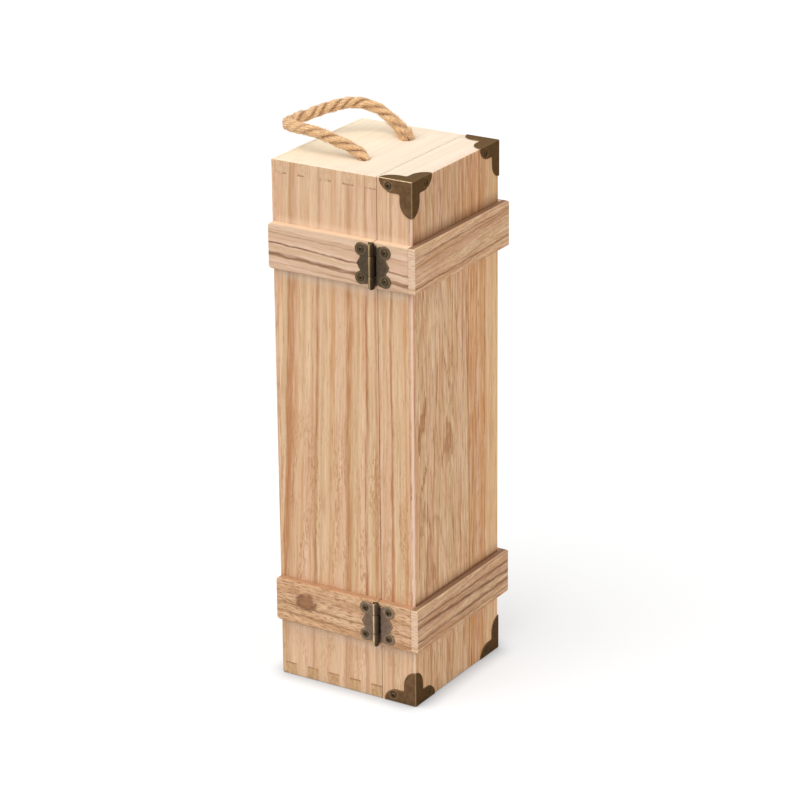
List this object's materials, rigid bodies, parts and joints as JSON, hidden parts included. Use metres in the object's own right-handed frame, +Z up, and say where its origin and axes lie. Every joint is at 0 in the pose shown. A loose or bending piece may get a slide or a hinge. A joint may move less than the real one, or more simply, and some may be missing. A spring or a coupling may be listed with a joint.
{
  "type": "wooden wine box",
  "caption": "Tall wooden box for one bottle, with a shallow hinged lid along its front, proud slats, metal corner brackets and a rope loop handle.",
  "frame": {"origin": "on the underside of the closed case, in the middle of its wooden footprint", "axes": "+Z up, along the box's height; the lid faces -Y, the back +Y; the hinges are on -X and the latches on +X"},
  "size_m": [0.1278, 0.1197, 0.3723],
  "materials": {
    "boards": "planed and lightly oiled softwood, straight grain",
    "panels": "planed and lightly oiled softwood, flat-sawn grain",
    "slats": "planed and lightly oiled softwood, straight grain",
    "fittings": "aged bronze plating, worn bright on the edges",
    "pins": "aged bronze plating",
    "rope": "laid natural fibre, three strands"
  },
  "bodies": {
    "tray": {"tray_hinge_side_board": "boards", "tray_latch_side_board": "boards", "tray_top_board": "boards", "tray_bottom_board": "boards", "back_panel": "panels", "tray_upper_slat_hinge_side": "slats", "tray_upper_slat_latch_side": "slats", "tray_lower_slat_hinge_side": "slats", "tray_lower_slat_latch_side": "slats", "upper_hinge_tray_leaf": "fittings", "lower_hinge_tray_leaf": "fittings", "upper_hinge_pin": "pins", "lower_hinge_pin": "pins", "hinge_screws_tray": "fittings", "upper_latch_keeper": "fittings", "lower_latch_keeper": "fittings", "latch_screws_tray": "fittings", "rope_end_hinge_side": "rope", "rope_end_latch_side": "rope"},
    "lid": {"lid_hinge_side_board": "boards", "lid_latch_side_board": "boards", "lid_top_rail": "boards", "lid_bottom_rail": "boards", "front_panel": "panels", "upper_front_slat": "slats", "lower_front_slat": "slats", "lid_upper_slat_hinge_side": "slats", "lid_upper_slat_latch_side": "slats", "lid_lower_slat_hinge_side": "slats", "lid_lower_slat_latch_side": "slats", "top_bracket_hinge_side": "fittings", "top_bracket_latch_side": "fittings", "bottom_bracket_hinge_side": "fittings", "bottom_bracket_latch_side": "fittings", "bracket_screws": "fittings", "upper_hinge_lid_leaf": "fittings", "lower_hinge_lid_leaf": "fittings", "hinge_screws_lid": "fittings", "upper_latch_plate": "fittings", "lower_latch_plate": "fittings", "upper_latch_pin": "pins", "lower_latch_pin": "pins", "latch_screws_lid": "fittings"},
    "upper_hasp": {"upper_latch_hasp": "fittings"},
    "lower_hasp": {"lower_latch_hasp": "fittings"},
    "handle": {"rope_handle": "rope"}
  },
  "joints": [
    {"name": "lid_hinge", "type": "hinge", "parent": "tray", "child": "lid", "pos_m": [-0.059, -0.026, 0.175], "axis": [0, 0, -1], "range_deg": [0, 180]},
    {"name": "upper_hasp_pivot", "type": "hinge", "parent": "lid", "child": "upper_hasp", "pos_m": [0.0585, -0.0286, 0.295], "axis": [0, 0, -1], "range_deg": [-25, 120]},
    {"name": "lower_hasp_pivot", "type": "hinge", "parent": "lid", "child": "lower_hasp", "pos_m": [0.0585, -0.0286, 0.055], "axis": [0, 0, -1], "range_deg": [-25, 120]},
    {"name": "handle_swing", "type": "hinge", "parent": "tray", "child": "handle", "pos_m": [0, 0, 0.353], "axis": [1, 0, 0], "range_deg": [0, 130]}
  ]
}
